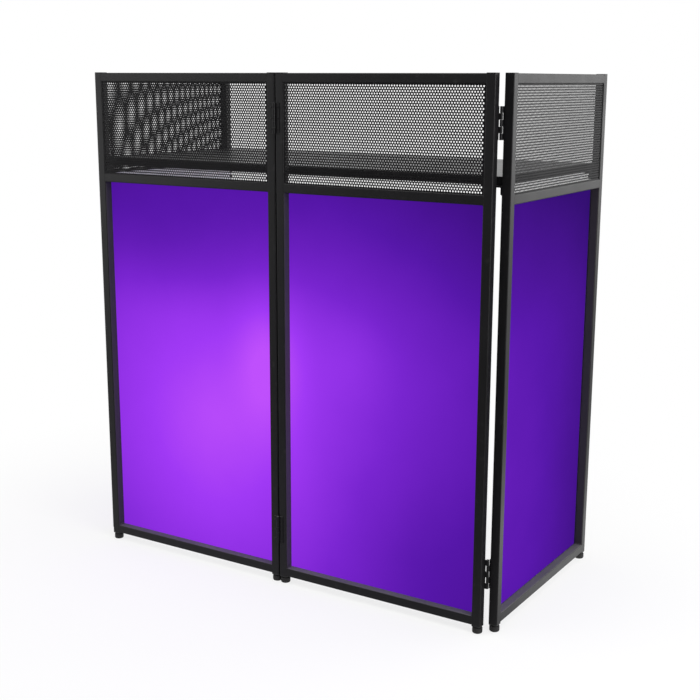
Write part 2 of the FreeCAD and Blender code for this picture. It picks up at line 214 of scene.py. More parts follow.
def powder_coat(name, dark, light, smooth, rough, shine, peel_size, peel_depth):
    """Satin black powder coat: orange peel, uneven gloss, pale handling marks, paler upward faces that are
    partly dust and partly painted light, and painted light on the post sides round the cloth.
    """
    cloud_size, speck_size, scuff_size = 90 * MM, 0.9 * MM, 14 * MM
    cloud_share, peel_share = 0.5, 0.75
    scuff_start, scuff_gain, scuff_roughness = 0.62, 1.6, 0.3
    least_dust_and_top_light_share, dust_roughness, least_cloth_light_share = 0.5, 0.8, 0.7
    heavy_height, faint_height, faint_share = 0.1, 0.9, 0.4
    scuff_colour = colour(58, 57, 58)
    dust_and_top_light_colour = colour(104, 102, 103)
    cloth_light_colour = colour(57, 54, 56)
    coat = Finish(name)
    place = coat.object_coordinates()
    place_parts = coat.parts(place)
    normal_parts = coat.parts(coat.node("ShaderNodeTexCoord", output="Normal"))
    cloud = coat.noise(place, cloud_size, detail=4)
    speck = coat.noise(place, speck_size, detail=3)
    peel = coat.noise(place, peel_size, detail=2)
    scuff = coat.noise(place, scuff_size, detail=6).above(scuff_start, scuff_gain)
    low_down = coat.node("ShaderNodeMapRange", None, {
        "Value": place_parts[UPWARDS], "From Min": heavy_height, "From Max": faint_height,
        "To Min": 1.0, "To Max": faint_share})
    # Partly dust and partly painted light: upward faces made paler, most near the floor
    dust = coat.facing(normal_parts[UPWARDS]) * cloud.between(least_dust_and_top_light_share, 1) * low_down
    # Painted light: the sides of the posts round the cloth made paler, as if lit by its glow
    cloth_light = beside_cloth(coat, place_parts, normal_parts) * cloud.between(least_cloth_light_share, 1)
    shade = coat.blend(cloud * cloud_share + speck * (1 - cloud_share), dark, light)
    worn = coat.blend(scuff, shade, scuff_colour)
    dusty_and_top_lit = coat.blend(dust, worn, dust_and_top_light_colour)
    gloss = cloud.between(smooth, rough) + scuff * scuff_roughness
    coat.set(
        Base_Color=coat.blend(cloth_light, dusty_and_top_lit, cloth_light_colour),
        Roughness=gloss.math("MAXIMUM", dust * dust_roughness),
        Normal=coat.bump(peel * peel_share + speck * (1 - peel_share), peel_depth),
        Specular_IOR_Level=shine,
    )
    return coat.material


def scrim_fabric():
    """Stretch knit with a painted purple glow in place of a lamp behind it: brightest beside the seam,
    dimmer towards the top and far panels.
    """
    painted_glow_centre = (-0.194, -0.281, 0.357)
    painted_glow_peak, fall_per_metre = 0.958, 0.658
    # Painted patches of the glow that are brighter or darker: centre, size along each axis, and change of
    # level
    painted_glow_spots = (
        ((-0.041, -0.238, 0.514), (0.092, 0.2, 0.156), 0.193),
        ((0.19, -0.238, 0.55), (0.1, 0.03, 0.1), 0.055),
        ((-0.3, -0.238, 0.76), (0.3, 0.03, 0.14), -0.085),
        ((0.36, -0.238, 0.12), (0.26, 0.03, 0.25), -0.115),
        ((0.523, 0.2, 0.3), (0.03, 0.15, 0.35), -0.055),
    )
    shade_start, shade_end, shade_share = 0.575, 0.95, 0.257
    painted_glow_stops = [
        (0.24, colour(46, 11, 107)),
        (0.44, colour(84, 21, 167)),
        (0.63, colour(120, 36, 207)),
        (0.84, colour(160, 57, 245)),
        (1.00, colour(192, 80, 253)),
    ]
    stitch_width, stitch_height, knit_depth = 0.55 * MM, 0.8 * MM, 0.08 * MM
    wale_share, course_bend, knit_level = 0.6, 1.2, 0.02
    cloud_size, cloud_level = 160 * MM, 0.025
    cloth = Finish("scrim_fabric")
    place = cloth.object_coordinates()
    parts = cloth.parts(place)
    along = parts[ACROSS] + parts[INWARDS]
    wale = (along * (math.pi / stitch_width)).math("SINE").math("ABSOLUTE")
    course = (parts[UPWARDS] * (math.pi / stitch_height) + wale * course_bend).math("SINE").math("ABSOLUTE")
    knit = wale * wale_share + course * (1 - wale_share)
    inputs = {0: place, 1: painted_glow_centre}
    away = cloth.node("ShaderNodeVectorMath", {"operation": "DISTANCE"}, inputs, output="Value")
    shade = cloth.rise(parts[UPWARDS], shade_start, shade_end, end=shade_share)
    unevenness = cloth.noise(place, cloud_size, detail=3).between(-cloud_level, cloud_level)
    level = (painted_glow_peak - away * fall_per_metre) * (1 - shade) + unevenness
    for centre, size, change in painted_glow_spots:
        level = level + cloth.soft_spot(place, centre, size) * change
    # The emission is painted light: the glow of a lamp behind the cloth, which the scene doesn't have
    glow = cloth.node("ShaderNodeValToRGB", {"stops": painted_glow_stops}, {0: level + knit * knit_level})
    cloth.set(
        # Dark purple on this side and pale on the inner side: the tint of the painted light, kept dark so
        # the lamps don't pale the glow
        Base_Color=cloth.blend(knit, colour(14, 3, 30), colour(22, 6, 44)),
        Roughness=0.8,
        Normal=cloth.bump(knit, knit_depth),
        Specular_IOR_Level=0.0,
        Emission_Color=glow,
        Emission_Strength=0.98,
    )
    return cloth.material


def inner_side_fabric():
    """The same knit on its inner side, where it is pale and glows evenly with painted light."""
    thread_size, thread_depth, thread_share = 0.7 * MM, 0.08 * MM, 0.5
    cloud_size = 120 * MM
    cloth = Finish("scrim_fabric_inner_side")
    place = cloth.object_coordinates()
    thread = cloth.noise(place, thread_size, detail=2)
    cloud = cloth.noise(place, cloud_size, detail=3)
    tone = thread * thread_share + cloud * (1 - thread_share)
    cloth.set(
        Base_Color=cloth.blend(tone, colour(208, 206, 212), colour(230, 229, 233)),
        Roughness=0.85,
        Normal=cloth.bump(thread, thread_depth),
        Specular_IOR_Level=0.1,
        # Painted light: a pale glow for the lit side of the cloth
        Emission_Color=cloth.blend(cloud, colour(206, 200, 226), colour(226, 222, 240)),
        Emission_Strength=0.25,
    )
    return cloth.material


def hook_and_loop():
    """Black tape with a nap of fine loops."""
    nap_size, nap_depth = 0.5 * MM, 0.35 * MM
    smooth, rough = 0.75, 0.95
    tape = Finish("hook_and_loop")
    nap = tape.noise(tape.object_coordinates(), nap_size, detail=4)
    tape.set(
        Base_Color=tape.blend(nap, colour(14, 14, 15), colour(46, 46, 48)),
        Roughness=nap.between(smooth, rough),
        Normal=tape.bump(nap, nap_depth),
        Sheen_Weight=0.2,
    )
    return tape.material


def moulded_black(name, dark, light, grain_size, grain_depth, rough, shine):
    """Moulded rubber or plastic with a fine cast grain and a little dust."""
    dust_size, dust_share, dust_roughness = 9 * MM, 0.7, 0.16
    mould = Finish(name)
    place = mould.object_coordinates()
    grain = mould.noise(place, grain_size, detail=3)
    dust = mould.noise(place, dust_size, detail=5)
    mould.set(
        Base_Color=mould.blend(dust * dust_share + grain * (1 - dust_share), dark, light),
        Roughness=dust * dust_roughness + rough,
        Normal=mould.bump(grain, grain_depth),
        Specular_IOR_Level=shine,
    )
    return mould.material


def pin_steel():
    """Darkened drawn steel with fine rings along the pin."""
    ring_size, ring_depth, squeeze = 4 * MM, 0.02 * MM, (1, 1, 12)
    smooth, rough = 0.3, 0.5
    steel = Finish("pin_steel")
    inputs = {"Vector": steel.object_coordinates(), "Scale": squeeze}
    drawn = steel.noise(steel.node("ShaderNodeMapping", None, inputs), ring_size, detail=4)
    steel.set(
        Base_Color=steel.blend(drawn, colour(70, 70, 74), colour(128, 128, 132)),
        Roughness=drawn.between(smooth, rough),
        Metallic=1.0,
        Normal=steel.bump(drawn, ring_depth),
    )
    return steel.material


def table_laminate():
    """Satin black laminate: a fine pebble, soft wiping smears and a few pale flecks."""
    pebble_size, pebble_depth = 1.6 * MM, 0.06 * MM
    smear_size, smear_squeeze, smear_share = 120 * MM, (1, 3, 1), 0.4
    fleck_size, fleck_start, fleck_gain = 2.2 * MM, 0.66, 3
    smooth, rough = 0.3, 0.46
    board = Finish("table_laminate")
    place = board.object_coordinates()
    pebble = board.node("ShaderNodeTexVoronoi", None, {"Vector": place, "Scale": 1 / pebble_size})
    smear_space = board.node("ShaderNodeMapping", None, {"Vector": place, "Scale": smear_squeeze})
    smear = board.noise(smear_space, smear_size, detail=5)
    fleck = board.noise(place, fleck_size, detail=2).above(fleck_start, fleck_gain)
    board.set(
        Base_Color=board.blend(fleck + smear * smear_share, colour(30, 30, 31), colour(58, 58, 60)),
        Roughness=smear.between(smooth, rough),
        Normal=board.bump(pebble, pebble_depth),
        Specular_IOR_Level=0.5,
    )
    return board.material


FINISHES = {
    "powder_coat": powder_coat(
        "powder_coat", colour(13, 13, 14), colour(23, 22, 24),
        smooth=0.36, rough=0.5, shine=0.25, peel_size=1.5 * MM, peel_depth=0.05 * MM),
    "perforated_sheet": powder_coat(
        "perforated_sheet", colour(17, 17, 18), colour(28, 27, 29),
        smooth=0.42, rough=0.55, shine=0.09, peel_size=1.1 * MM, peel_depth=0.03 * MM),
    "scrim_fabric": scrim_fabric(),
    "scrim_fabric_inner_side": inner_side_fabric(),
    "hook_and_loop": hook_and_loop(),
    "foot_rubber": moulded_black(
        "foot_rubber", colour(18, 18, 19), colour(40, 39, 39),
        grain_size=0.7 * MM, grain_depth=0.06 * MM, rough=0.6, shine=0.35),
    "plug_plastic": moulded_black(
        "plug_plastic", colour(22, 22, 23), colour(36, 36, 37),
        grain_size=0.5 * MM, grain_depth=0.03 * MM, rough=0.42, shine=0.35),
    "pin_steel": pin_steel(),
    "table_laminate": table_laminate(),
    "edge_band": moulded_black(
        "edge_band", colour(20, 20, 22), colour(32, 32, 34),
        grain_size=0.6 * MM, grain_depth=0.03 * MM, rough=0.42, shine=0.15),
}


# Mesh tools

EDGE_SEGMENTS = 2
RIM_SEGMENTS = 4


def size_matrix(size):
    return Matrix.Diagonal((*size, 1))


def soften(shape, edges, radius, segments):
    """Round edges of a shape."""
    bmesh.ops.bevel(
        shape, geom=edges, offset=radius, offset_type="OFFSET", affect="EDGES",
        segments=segments, profile=0.5, material=-1)


def sharp_edges(shape):
    return [edge for edge in shape.edges if edge.calc_face_angle(0) > CREASE]


def edges_along(shape, axis):
    """The edges that run along one axis."""
    found = []
    for edge in shape.edges:
        run = (edge.verts[1].co - edge.verts[0].co).normalized()
        if abs(run[axis]) > math.cos(CREASE):
            found.append(edge)
    return found


def box_shape(low, high, radius=0, segments=EDGE_SEGMENTS):
    """A box between two corners, with every edge rounded where a radius is given."""
    low, high = Vector(low), Vector(high)
    shape = bmesh.new()
    place = Matrix.Translation((low + high) / 2) @ size_matrix(high - low)
    bmesh.ops.create_cube(shape, size=1, matrix=place)
    shape.normal_update()
    if radius:
        soften(shape, shape.edges[:], radius, segments)
    return shape


def rod_shape(radius, length, sides):
    """A closed rod along z, about the origin."""
    shape = bmesh.new()
    bmesh.ops.create_cone(
        shape, cap_ends=True, segments=sides, radius1=radius, radius2=radius, depth=length)
    return shape


def upright_grid(low, high, y, columns, rows):
    """A flat grid that fills the width and height between two corners, at one depth."""
    middle = (low + high) / 2
    size = size_matrix((high.x - low.x, high.z - low.z, 1))
    place = Matrix.Translation((middle.x, y, middle.z)) @ UPRIGHT @ size
    shape = bmesh.new()
    bmesh.ops.create_grid(shape, x_segments=columns, y_segments=rows, size=0.5, matrix=place)
    return shape


def is_on_ring(point, radius, height):
    return abs(point.z - height) < MERGE and abs(point.xy.length - radius) < MERGE


def turned_shape(profile, steps, rounds=None):
    """A shape turned about z from (radius, height) points; rounds gives a radius to some of them."""
    shape = bmesh.new()
    points = [shape.verts.new((radius, 0, height)) for radius, height in profile]
    lines = [shape.edges.new(pair) for pair in zip(points, points[1:])]
    bmesh.ops.spin(
        shape, geom=points + lines, cent=ORIGIN, axis=(0, 0, 1),
        angle=FULL_TURN, steps=steps, use_merge=True)
    bmesh.ops.remove_doubles(shape, verts=shape.verts[:], dist=MERGE)
    bmesh.ops.recalc_face_normals(shape, faces=shape.faces[:])
    for index, round_radius in (rounds or {}).items():
        radius, height = profile[index]
        rim = [edge for edge in shape.edges if all(is_on_ring(v.co, radius, height) for v in edge.verts)]
        soften(shape, rim, round_radius, RIM_SEGMENTS)
    return shape


def stamp(shape, other, place=Matrix.Identity(4)):
    """Add a copy of another shape to a shape."""
    mesh = bpy.data.meshes.new("stamp")
    other.to_mesh(mesh)
    mesh.transform(place)
    shape.from_mesh(mesh)
    bpy.data.meshes.remove(mesh)


def lay_out(shape, step, count):
    """Copies of a shape, one step apart."""
    copies = bmesh.new()
    for number in range(count):
        stamp(copies, shape, Matrix.Translation(Vector(step) * number))
    return copies


def make_piece(name, shape, body, slot, nodes=(), place=Matrix.Identity(4)):
    """Make a shape into a piece that rides on a body, in place of some of the frame's nodes."""
    bmesh.ops.transform(shape, matrix=place, verts=shape.verts[:])
    for face in shape.faces:
        face.smooth = True
    for edge in shape.edges:
        edge.smooth = edge.calc_face_angle(0) < CREASE
    mesh = bpy.data.meshes.new(name)
    shape.to_mesh(mesh)
    shape.free()
    mesh.materials.append(FINISHES[slot])
    piece = bpy.data.objects.new(name, mesh)
    bpy.context.scene.collection.objects.link(piece)
    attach(piece, body)
    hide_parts(*nodes)
    weighted = piece.modifiers.new("even_normals", "WEIGHTED_NORMAL")
    weighted.keep_sharp = True
    return piece


# Panels

class Panel:
    """A panel's place and sizes, read from the frame."""

    def __init__(self, name, turn):
        self.name = name
        low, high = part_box(f"{name}_frame")
        corner = Vector((high.x if turn > 0 else low.x, high.y if turn < 0 else low.y, low.z))
        self.place = Matrix.Translation(corner) @ Matrix.Rotation(math.radians(turn), 4, "Z")
        _, size = self.box(f"{name}_frame")
        self.width, self.tube, self.height = size
        upper_low, upper_high = self.box(f"{name}_mesh_sheet")
        self.windows = (
            (self.tube, upper_low.z - self.tube),
            (upper_low.z, upper_high.z),
        )

    def box(self, node):
        """A node's lowest and highest corner in the panel's own axes."""
        back = self.place.inverted()
        corners = [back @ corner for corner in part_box(node)]
        return Vector(map(min, *corners)), Vector(map(max, *corners))

    def make(self, piece, shape, slot, *nodes):
        """Make a shape in the panel's own axes into one of its pieces."""
        names = [f"{self.name}_{node}" for node in nodes]
        return make_piece(f"{self.name}_{piece}", shape, self.name, slot, names, self.place)


TUBE_CORNER = 2.2 * MM
TUBE_CORNER_SEGMENTS = 5
TUBE_WALL = 1.2 * MM
JOINT_LAP = 1.2 * MM


def tube_shape(low, high, axis):
    """A square tube between two corners, open at its ends."""
    shape = box_shape(low, high)
    ends = [face for face in shape.faces if abs(face.normal[axis]) > math.cos(CREASE)]
    bmesh.ops.delete(shape, geom=ends, context="FACES_ONLY")
    soften(shape, edges_along(shape, axis), TUBE_CORNER, TUBE_CORNER_SEGMENTS)
    shape.normal_update()
    bmesh.ops.solidify(shape, geom=shape.faces[:], thickness=TUBE_WALL)
    return shape


def make_frame(panel):
    """Two posts and the three rails between them. A fine line is left at each post's rounded corner."""
    tubes = bmesh.new()
    tube = panel.tube
    for x in (0, panel.width - tube):
        stamp(tubes, tube_shape((x, 0, 0), (x + tube, tube, panel.height), UPWARDS))
    (_, lower_top), (_, upper_top) = panel.windows
    start = tube - JOINT_LAP
    for z in (0, lower_top, upper_top):
        stamp(tubes, tube_shape((start, 0, z), (panel.width - start, tube, z + tube), ACROSS))
    panel.make("tube_frame", tubes, "powder_coat", "frame")


WELD_RADIUS = 1.9 * MM
WELD_SIDES = 10
WELD_RIPPLE = 1.5 * MM
WELD_SHARE = 0.78
RIPPLE_SHARE = 0.86


def weld_shape(length, axis):
    """A rippled weld bead along an axis, about the origin."""
    shape = rod_shape(WELD_RADIUS, length, WELD_SIDES)
    ripples = 2 * round(length / WELD_RIPPLE / 2)
    bmesh.ops.subdivide_edges(shape, edges=edges_along(shape, UPWARDS), cuts=ripples - 1)
    for point in shape.verts:
        ring = round((point.co.z / length + 0.5) * ripples)
        if ring % 2 == 0:
            point.co.xy *= RIPPLE_SHARE
    turn = Matrix.Rotation(QUARTER_TURN, 4, "X" if axis == INWARDS else "Y")
    bmesh.ops.transform(shape, matrix=turn, verts=shape.verts[:])
    return shape


def make_welds(panel, brackets):
    """Beads in the corners of both windows, and under each table bracket."""
    welds = bmesh.new()
    corner_bead = weld_shape(panel.tube * WELD_SHARE, INWARDS)
    for low, high in panel.windows:
        for x in (panel.tube, panel.width - panel.tube):
            for z in (low, high):
                stamp(welds, corner_bead, Matrix.Translation((x, panel.tube / 2, z)))
    bracket_bead = weld_shape(panel.tube * WELD_SHARE, ACROSS)
    for node in brackets:
        low, high = panel.box(node)
        post = panel.tube / 2 if low.x < panel.width / 2 else panel.width - panel.tube / 2
        stamp(welds, bracket_bead, Matrix.Translation((post, low.y, low.z)))
    panel.make("welds", welds, "powder_coat")


HOLE_PITCH = 6.2 * MM
HOLE_RADIUS = 1.85 * MM
HOLE_SIDES = 12
# Each hole stands in a six-sided cell, and the cells fill the sheet
CELL_SIDES = 6
CELL_RADIUS = HOLE_PITCH / math.sqrt(3)
ROW_STEP = HOLE_PITCH * math.sin(math.radians(60))
SHEET_THICKNESS = 0.5 * MM
SHEET_MARGIN = 1.5 * MM


def grille_row(cell, blank, holes):
    """A row of holes with a blank cell at each end."""
    row = lay_out(cell, (HOLE_PITCH, 0, 0), holes)
    for number in (-1, holes):
        stamp(row, blank, Matrix.Translation((number * HOLE_PITCH, 0, 0)))
    return row


def perforated_shape(width, height):
    """A flat sheet from the origin: round holes in staggered rows, with a plain edge all round."""
    cell = bmesh.new()
    bmesh.ops.create_circle(cell, segments=HOLE_SIDES, radius=HOLE_RADIUS)
    bmesh.ops.create_circle(cell, segments=CELL_SIDES, radius=CELL_RADIUS)
    bmesh.ops.triangle_fill(cell, use_beauty=True, edges=cell.edges[:], normal=(0, 0, 1))
    blank = bmesh.new()
    bmesh.ops.create_circle(blank, cap_ends=True, segments=CELL_SIDES, radius=CELL_RADIUS)
    margin = HOLE_RADIUS + SHEET_MARGIN
    holes = int((width - 2 * margin) / HOLE_PITCH) + 1
    rows = int((height - 2 * margin) / ROW_STEP) + 1
    staggered = grille_row(cell, blank, holes), grille_row(cell, blank, holes - 1)
    plain = grille_row(blank, blank, holes)
    sheet = bmesh.new()
    for number in range(-1, rows + 1):
        shift = number % 2
        row = staggered[shift] if 0 <= number < rows else plain
        stamp(sheet, row, Matrix.Translation((shift * HOLE_PITCH / 2, number * ROW_STEP, 0)))
    bmesh.ops.remove_doubles(sheet, verts=sheet.verts[:], dist=MERGE)
    size = Vector((width, height, 0))
    pattern = Vector(((holes - 1) * HOLE_PITCH, (rows - 1) * ROW_STEP, 0))
    first = (pattern - size) / 2
    far = first + size
    for corner, outwards in ((first, (-1, 0, 0)), (first, (0, -1, 0)), (far, (1, 0, 0)), (far, (0, 1, 0))):
        everything = sheet.verts[:] + sheet.edges[:] + sheet.faces[:]
        bmesh.ops.bisect_plane(
            sheet, geom=everything, dist=MERGE, plane_co=corner, plane_no=outwards, clear_outer=True)
    sheet.normal_update()
    bmesh.ops.solidify(sheet, geom=sheet.faces[:], thickness=SHEET_THICKNESS)
    bmesh.ops.translate(sheet, verts=sheet.verts[:], vec=-first)
    return sheet


def make_grille(panel):
    """The perforated sheet in the upper window."""
    low, high = panel.box(f"{panel.name}_mesh_sheet")
    sheet = perforated_shape(high.x - low.x, high.z - low.z)
    bmesh.ops.transform(sheet, matrix=Matrix.Translation(low) @ UPRIGHT, verts=sheet.verts[:])
    panel.make("grille", sheet, "perforated_sheet", "mesh_sheet")


TAPE_WIDTH = 8 * MM
RAIL_TAPE_WIDTH = 16 * MM
TAPE_EDGE = 0.3 * MM
HEM_WIDTH = 9.5 * MM
HEM_THICKNESS = 0.5 * MM
HEM_EDGE = 0.2 * MM
FABRIC_STEP = 12 * MM
PUCKER_DEPTH = 0.35 * MM
PUCKER_LENGTH = 26 * MM
PUCKER_REACH = 22 * MM
SEAM_LENGTH = 3 * MM
SEAM_SWING = 2.4 * MM
THREAD_RADIUS = 0.22 * MM
THREAD_SIDES = 6


def make_tape(panel):
    """Four strips of hook-and-loop tape round the lower window."""
    low, high = panel.box(f"{panel.name}_scrim_tape")
    strips = bmesh.new()
    for x in (low.x, high.x - TAPE_WIDTH):
        stamp(strips, box_shape((x, low.y, low.z), (x + TAPE_WIDTH, high.y, high.z), TAPE_EDGE))
    for z in (low.z, high.z - RAIL_TAPE_WIDTH):
        start = (low.x + TAPE_WIDTH, low.y, z)
        end = (high.x - TAPE_WIDTH, high.y, z + RAIL_TAPE_WIDTH)
        stamp(strips, box_shape(start, end, TAPE_EDGE))
    return panel.make("hook_tape", strips, "hook_and_loop", "scrim_tape")


def pucker(point, low, high):
    """How far stretched cloth draws in near its edge, between the places that hold it."""
    edge = min(point.x - low.x, high.x - point.x, point.z - low.z, high.z - point.z)
    along = point.x + point.z
    wave = 0.5 - 0.5 * math.cos(FULL_TURN * along / PUCKER_LENGTH)
    rise = min(edge / TAPE_WIDTH, 1)
    return PUCKER_DEPTH * wave * rise * math.exp(-edge / PUCKER_REACH)


def fabric_shape(low, high):
    """Stretched cloth between two corners; the faces on its inner side take the second material."""
    columns = round((high.x - low.x) / FABRIC_STEP)
    rows = round((high.z - low.z) / FABRIC_STEP)
    fabric = upright_grid(low, high, low.y, columns, rows)
    for point in fabric.verts:
        point.co.y += pucker(point.co, low, high)
    fabric.normal_update()
    bmesh.ops.solidify(fabric, geom=fabric.faces[:], thickness=high.y - low.y)
    fabric.normal_update()
    for face in fabric.faces:
        face.material_index = int(face.normal.y > math.cos(CREASE))
    return fabric


def hem_shape(low, high):
    """The turned-over edge of the cloth, a flat band on its inner side."""
    hem = upright_grid(low, high, high.y, columns=1, rows=1)
    hem.normal_update()
    inner = hem.faces[:]
    bmesh.ops.inset_region(hem, faces=inner, thickness=HEM_WIDTH, use_even_offset=True, use_boundary=True)
    bmesh.ops.delete(hem, geom=inner, context="FACES")
    hem.normal_update()
    bmesh.ops.solidify(hem, geom=hem.faces[:], thickness=HEM_THICKNESS)
    soften(hem, sharp_edges(hem), HEM_EDGE, EDGE_SEGMENTS)
    return hem


def seam_shape(low, high):
    """A zigzag of thread round the hem, on its inner side."""
    thread = rod_shape(THREAD_RADIUS, math.hypot(SEAM_LENGTH, SEAM_SWING) + THREAD_RADIUS, THREAD_SIDES)
    lean = math.atan2(SEAM_SWING, SEAM_LENGTH)
    zigzag = bmesh.new()
    for place, turn in ((0, lean), (SEAM_LENGTH, -lean)):
        stamp(zigzag, thread, Matrix.Translation((0, 0, place)) @ Matrix.Rotation(turn, 4, "Y"))
    step = 2 * SEAM_LENGTH
    upright_run, level_run = [
        lay_out(zigzag, (0, 0, step), int((size - HEM_WIDTH) / step))
        for size in (high.z - low.z, high.x - low.x)
    ]
    seam = bmesh.new()
    y = high.y + HEM_THICKNESS
    inset = HEM_WIDTH / 2
    for x in (low.x + inset, high.x - inset):
        stamp(seam, upright_run, Matrix.Translation((x, y, low.z + inset)))
    level = Matrix.Rotation(QUARTER_TURN, 4, "Y")
    for z in (low.z + inset, high.z - inset):
        stamp(seam, level_run, Matrix.Translation((low.x + inset, y, z)) @ level)
    return seam


def make_fabric(panel, tape):
    """Stretch fabric over the lower window, hemmed on its inner side and sewn with a zigzag."""
    low, high = panel.box(f"{panel.name}_scrim")
    inner_side = FINISHES["scrim_fabric_inner_side"]
    sheet = panel.make("fabric", fabric_shape(low, high), "scrim_fabric", "scrim")
    sheet.data.materials.append(inner_side)
    hem = panel.make("fabric_hem", hem_shape(low, high), "scrim_fabric")
    seam = panel.make("hem_stitching", seam_shape(low, high), "scrim_fabric")
    for piece in (hem, seam):
        piece.data.materials[0] = inner_side


FOOT_BEVEL = 3 * MM
FOOT_RIM = 1 * MM
FOOT_NECK = 7.5 * MM
FOOT_STEPS = 40
NECK_HEIGHT = 3 * MM
STEM_RADIUS = 4 * MM
COLLAR_EDGE = 0.8 * MM
CAP_EDGE = 0.4 * MM
PLUG_EDGE_SEGMENTS = 3
PLUG_GAP = 0.1 * MM


def foot_shape(low, high, collar_bottom):
    """A turned rubber foot with a groove under its collar, and its stem up into the insert."""
    radius = (high.y - low.y) / 2
    pad_top = collar_bottom - NECK_HEIGHT
    profile = [
        (0, low.z),
        (radius, low.z),
        (radius, pad_top),
        (FOOT_NECK, pad_top),
        (FOOT_NECK, collar_bottom),
        (STEM_RADIUS, collar_bottom),
        (STEM_RADIUS, high.z),
        (0, high.z),
    ]
    return turned_shape(profile, FOOT_STEPS, {1: FOOT_BEVEL, 2: FOOT_RIM})


def plug_shape(tube, head_low, head_high, shank_low, shank_high, edge):
    """A moulded plug about a post's axis: a head that covers the tube's end, and a shank inside it."""
    plug = bmesh.new()
    half = tube / 2
    shank = half - TUBE_WALL - PLUG_GAP
    head = box_shape((-half, -half, head_low), (half, half, head_high))
    soften(head, edges_along(head, UPWARDS), TUBE_CORNER, TUBE_CORNER_SEGMENTS)
    head.normal_update()
    soften(head, sharp_edges(head), edge, PLUG_EDGE_SEGMENTS)
    stamp(plug, head)
    stamp(plug, box_shape((-shank, -shank, shank_low), (shank, shank, shank_high)))
    return plug


def make_post_ends(panel):
    """The feet in their inserts under both posts, and the caps on top."""
    insert_low, insert_high = panel.box(f"{panel.name}_foot_inserts")
    foot_low, foot_high = panel.box(f"{panel.name}_feet")
    cap_low, cap_high = panel.box(f"{panel.name}_post_caps")
    tube, bottom, top = panel.tube, 0, panel.height
    foot = foot_shape(foot_low, foot_high, insert_low.z)
    insert = plug_shape(tube, insert_low.z, bottom, bottom, insert_high.z, COLLAR_EDGE)
    cap = plug_shape(tube, top, cap_high.z, cap_low.z, top, CAP_EDGE)
    for piece, shape, slot, node in (
        ("rubber_feet", foot, "foot_rubber", "feet"),
        ("foot_collars", insert, "plug_plastic", "foot_inserts"),
        ("end_caps", cap, "plug_plastic", "post_caps"),
    ):
        pair = bmesh.new()
        for x in (tube / 2, panel.width - tube / 2):
            stamp(pair, shape, Matrix.Translation((x, tube / 2, 0)))
        panel.make(piece, pair, slot, node)


# Hinges

KNUCKLES = 5
KNUCKLE_GAP = 0.4 * MM
BARREL_RADIUS = 3 * MM
BORE_RADIUS = 1.55 * MM
ROLL_TURN = math.radians(292)
ROLL_STEPS = 18
LEAF_OFFSET = 3.5 * MM
LEAF_THICKNESS = 1.5 * MM
LEAF_REACH = 12 * MM
LEAF_START = 3.6 * MM
LEAF_CORNER = 2 * MM
LEAF_CORNER_SEGMENTS = 4
LEAF_EDGE = 0.25 * MM
PIN_EDGE = 0.4 * MM
PIN_STEPS = 24
RIVET_RADIUS = 2.7 * MM
RIVET_HEIGHT = 1.1 * MM
RIVET_STEPS = 16
MANDREL_RADIUS = 0.8 * MM
MANDREL_DEPTH = 0.5 * MM
RIVET_SHARES = (0.14, 0.5, 0.86)
# Each hinge's joint, and for its two leaves the panel, the turn about the pin and whether it is turned over
HINGES = {
    "seam": ("seam_fold", (("front_left", 0, True), ("front_right", 0, False))),
    "left_corner": ("left_fold", (("front_left", 180, True), ("left_side", 90, False))),
    "right_corner": ("right_fold", (("front_right", 180, False), ("right_side", -90, True))),
}
# The knuckles of a hinge's first and second leaf, counted along the pin
KNUCKLE_ORDER = {"upper": ((1, 3), (0, 2, 4)), "lower": ((0, 2, 4), (1, 3))}


def knuckle_shape(height):
    """Sheet rolled round the pin, with the tongue that joins it to its leaf."""
    roll = bmesh.new()
    inner = roll.verts.new((0, BORE_RADIUS, 0))
    outer = roll.verts.new((0, BARREL_RADIUS, 0))
    edge = roll.edges.new((inner, outer))
    bmesh.ops.spin(
        roll, geom=[inner, outer, edge], cent=ORIGIN, axis=(0, 0, 1),
        angle=ROLL_TURN, steps=ROLL_STEPS, use_merge=False)
    tongue = bmesh.ops.extrude_edge_only(roll, edges=[edge])["geom"]
    ends = [part for part in tongue if isinstance(part, bmesh.types.BMVert)]
    bmesh.ops.translate(roll, verts=ends, vec=(LEAF_START, LEAF_OFFSET - BARREL_RADIUS, 0))
    raised = bmesh.ops.extrude_face_region(roll, geom=roll.faces[:])["geom"]
    top = [part for part in raised if isinstance(part, bmesh.types.BMVert)]
    bmesh.ops.translate(roll, verts=top, vec=(0, 0, height))
    bmesh.ops.recalc_face_normals(roll, faces=roll.faces[:])
    return roll


def leaf_shape(own_knuckles, height):
    """A hinge leaf: pin on z, plate along +x, and its mounting face towards +y."""
    leaf = bmesh.new()
    step = height / KNUCKLES
    knuckle = knuckle_shape(step - KNUCKLE_GAP)
    for number in own_knuckles:
        stamp(leaf, knuckle, Matrix.Translation((0, 0, number * step + KNUCKLE_GAP / 2)))
    plate = box_shape((LEAF_START, LEAF_OFFSET - LEAF_THICKNESS, 0), (LEAF_REACH, LEAF_OFFSET, height))
    far = [edge for edge in edges_along(plate, INWARDS) if edge.verts[0].co.x > LEAF_START + LEAF_CORNER]
    soften(plate, far, LEAF_CORNER, LEAF_CORNER_SEGMENTS)
    soften(plate, sharp_edges(plate), LEAF_EDGE, EDGE_SEGMENTS)
    stamp(leaf, plate)
    return leaf


